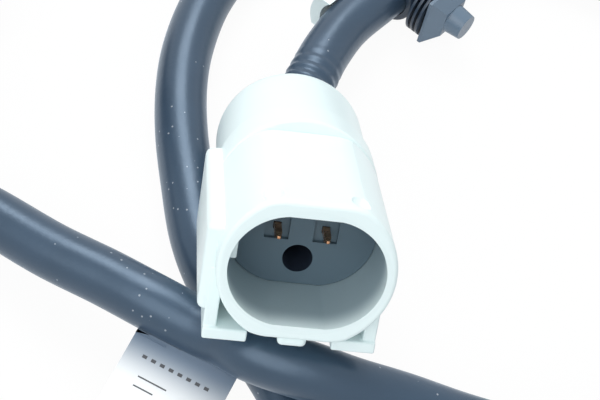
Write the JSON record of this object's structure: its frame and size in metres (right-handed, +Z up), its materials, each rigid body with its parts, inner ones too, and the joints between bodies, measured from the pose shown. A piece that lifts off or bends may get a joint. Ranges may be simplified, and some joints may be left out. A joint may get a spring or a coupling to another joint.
{
  "type": "abs wheel speed sensor",
  "caption": "Wheel speed sensor with a coiled rubber lead, an open-mouthed pin plug in pale plastic, a push-in fir-tree clip, and a round-nosed head with a bolt ear",
  "frame": {"origin": "under the middle of the plug and the sensor head, on the table they lie on", "axes": "+Z is up from the table, +Y runs away from the plug mouth towards its rear, +X runs from the sensor head to the plug"},
  "size_m": [0.1202, 0.0954, 0.0305],
  "materials": {
    "pale_plastic": "semi-gloss moulded plastic, near white with a cool green tint",
    "carrier_plastic": "satin moulded plastic, cool grey",
    "pin_metal": "plated contact metal, copper tone",
    "black_rubber": "satin rubber sheath, slate black, fine specks",
    "seal_rubber": "soft silicone rubber",
    "core_insulation": "extruded wire insulation",
    "clip_plastic": "moulded plastic, dark blue-grey",
    "label_paper": "coated white label",
    "black_plastic": "glass-filled moulded plastic, black",
    "sleeve_metal": "turned steel sleeve",
    "chip_plastic": "moulded epoxy and plastic, black",
    "magnet_metal": "sintered magnet, dark grey"
  },
  "bodies": {
    "root": {"connector_shell": "pale_plastic", "terminal_carrier": "carrier_plastic", "terminal_pin_left": "pin_metal", "terminal_pin_right": "pin_metal", "rear_cap": "pale_plastic", "cable_seal": "seal_rubber", "core_wire_left": "core_insulation", "core_wire_right": "core_insulation", "cable": "black_rubber", "cable_clip": "clip_plastic", "clip_pad": "pale_plastic", "cable_label": "label_paper", "head_body": "black_plastic", "head_boot": "black_rubber", "head_o_ring": "seal_rubber", "mounting_bush": "sleeve_metal", "element_holder": "chip_plastic", "hall_element": "chip_plastic", "bias_magnet": "magnet_metal", "lead_left": "core_insulation", "lead_right": "core_insulation"}
  },
  "joints": []
}
